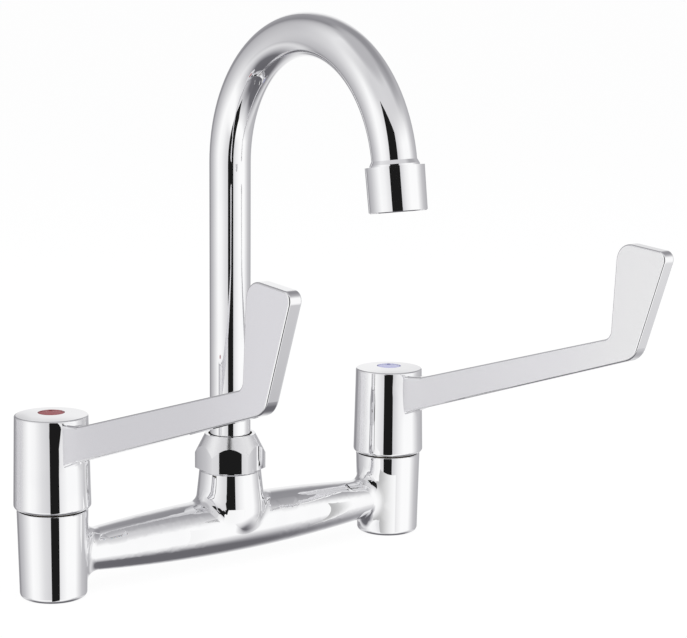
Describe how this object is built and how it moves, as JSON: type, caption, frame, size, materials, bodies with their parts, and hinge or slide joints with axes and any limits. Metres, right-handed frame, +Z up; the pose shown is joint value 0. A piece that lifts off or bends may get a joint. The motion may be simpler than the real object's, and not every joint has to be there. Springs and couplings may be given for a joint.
{
  "type": "bridge sink mixer faucet",
  "caption": "Deck-mounted bridge sink mixer in bright chrome, with a swivelling swan-neck spout and long elbow-action levers over quarter-turn ceramic valves.",
  "frame": {"origin": "on the deck, midway between the two inlets", "axes": "+X runs from the hot pillar to the cold one, -Y is the user's side, +Z is up"},
  "size_m": [0.2124, 0.1891, 0.2435],
  "materials": {
    "cast_chrome": "bright chrome plate on a polished brass casting",
    "handle_chrome": "bright chrome plate on a polished casting",
    "tube_chrome": "bright chrome plate on drawn tube",
    "nut_chrome": "bright chrome plate on turned brass",
    "brass": "bare machined brass",
    "ceramic": "lapped alumina ceramic",
    "rubber": "black nitrile rubber",
    "nylon": "natural nylon",
    "white_acetal": "moulded acetal",
    "stainless": "bare stainless steel",
    "spring_steel": "dark spring steel",
    "hot_index": "glossy red acrylic",
    "cold_index": "glossy blue acrylic"
  },
  "bodies": {
    "mixer_body": {"bridge_body": "cast_chrome", "cold_fixed_disc": "ceramic", "cold_seat_seal": "rubber", "cold_valve_body": "brass", "cold_valve_body_o_ring": "rubber", "hot_fixed_disc": "ceramic", "hot_seat_seal": "rubber", "hot_valve_body": "brass", "hot_valve_body_o_ring": "rubber", "spout_nut": "nut_chrome", "spout_slip_washers": "nylon"},
    "hot_lever": {"hot_handle": "handle_chrome", "hot_handle_screw": "stainless", "hot_index_button": "hot_index", "hot_moving_disc": "ceramic", "hot_spindle_circlip": "spring_steel", "hot_spindle_o_rings": "rubber", "hot_valve_spindle": "brass"},
    "cold_lever": {"cold_handle": "handle_chrome", "cold_handle_screw": "stainless", "cold_index_button": "cold_index", "cold_moving_disc": "ceramic", "cold_spindle_circlip": "spring_steel", "cold_spindle_o_rings": "rubber", "cold_valve_spindle": "brass"},
    "spout": {"aerator_housing": "nut_chrome", "aerator_insert": "white_acetal", "aerator_mesh": "stainless", "aerator_washer": "rubber", "outlet_collar": "nut_chrome", "spout_bush": "brass", "spout_o_rings": "rubber", "spout_snap_ring": "spring_steel", "spout_tube": "tube_chrome"}
  },
  "joints": [
    {"name": "hot_lever_turn", "type": "hinge", "parent": "mixer_body", "child": "hot_lever", "pos_m": [-0.09, 0, 0.0582], "axis": [0, 0, 1], "range_deg": [-90, 0]},
    {"name": "cold_lever_turn", "type": "hinge", "parent": "mixer_body", "child": "cold_lever", "pos_m": [0.09, 0, 0.0582], "axis": [0, 0, 1], "range_deg": [0, 90]},
    {"name": "spout_swivel", "type": "hinge", "parent": "mixer_body", "child": "spout", "pos_m": [0, 0, 0.0516], "axis": [0, 0, 1], "continuous": true}
  ]
}
